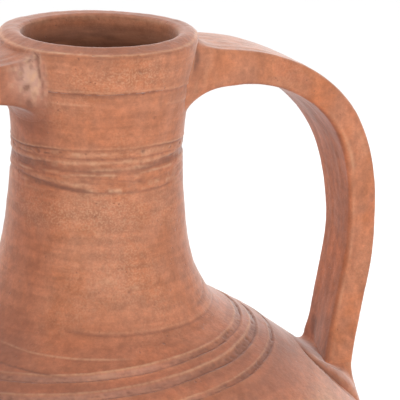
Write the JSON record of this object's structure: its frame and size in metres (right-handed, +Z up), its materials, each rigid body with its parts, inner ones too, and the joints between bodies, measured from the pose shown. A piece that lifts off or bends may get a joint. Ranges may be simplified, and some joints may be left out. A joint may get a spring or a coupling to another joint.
{
  "type": "two-handled ceramic jug",
  "caption": "Tall-necked unglazed terracotta jug with a thickened lip, a round body and strap handles from the neck to the shoulder, for holding and pouring water or standing as decoration.",
  "frame": {"origin": "middle of the base's flat underside", "axes": "+Z up the jug's axis and out through the mouth; the two handles lie along X, handle_right at +X and handle_left at -X"},
  "size_m": [0.326, 0.326, 0.43],
  "materials": {
    "body_clay": "unglazed matt terracotta",
    "handle_clay": "unglazed matt terracotta, more orange",
    "joint_clay": "smeared matt terracotta slip"
  },
  "bodies": {
    "root": {"rim_collar": "body_clay", "neck": "body_clay", "neck_luting_ring": "joint_clay", "upper_body": "body_clay", "belly_luting_ring": "joint_clay", "lower_body": "body_clay", "base_disc": "body_clay", "handle_right": "handle_clay", "upper_luting_pad_right": "joint_clay", "lower_luting_pad_right": "joint_clay", "handle_left": "handle_clay", "upper_luting_pad_left": "joint_clay", "lower_luting_pad_left": "joint_clay"}
  },
  "joints": []
}
